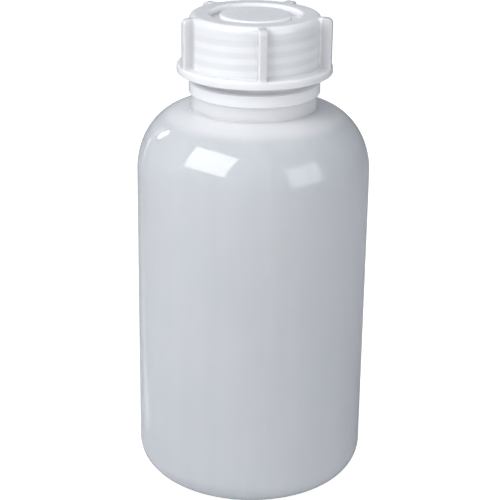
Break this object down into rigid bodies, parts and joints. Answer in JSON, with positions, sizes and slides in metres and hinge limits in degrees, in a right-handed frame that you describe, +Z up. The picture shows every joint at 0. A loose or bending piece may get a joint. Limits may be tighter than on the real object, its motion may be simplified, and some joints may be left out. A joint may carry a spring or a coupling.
{
  "type": "reagent bottle",
  "caption": "Cylindrical wide-mouth plastic bottle with a rounded shoulder, a collared neck and a ribbed screw cap over a sealing insert.",
  "frame": {"origin": "centre of the standing ring, on the surface that the bottle stands on", "axes": "+Z up along the bottle's axis; +X to the right and -Y towards the viewer of the front rib"},
  "size_m": [0.12, 0.12, 0.2496],
  "materials": {
    "bottle_ldpe": "milky translucent polyethylene, glossy blown surface",
    "cap_ldpe": "whiter translucent moulded polyethylene, semi-gloss, fine matt disc on top",
    "insert_ldpe": "soft satin moulded polyethylene"
  },
  "bodies": {
    "bottle": {"bottle": "bottle_ldpe"},
    "insert": {"sealing_insert": "insert_ldpe"},
    "cap": {"screw_cap": "cap_ldpe"}
  },
  "joints": [
    {"name": "cap_lift", "type": "slide", "parent": "bottle", "child": "insert", "axis": [0, 0, 1], "range_m": [0, 0.036]},
    {"name": "cap_turn", "type": "hinge", "parent": "insert", "child": "cap", "pos_m": [0, 0, 0.2456], "axis": [0, 0, 1], "range_deg": [0, 2160]}
  ],
  "couplings": [
    {"joint": "cap_lift", "follows": "cap_turn", "m_per_rad": 0.00095493}
  ]
}
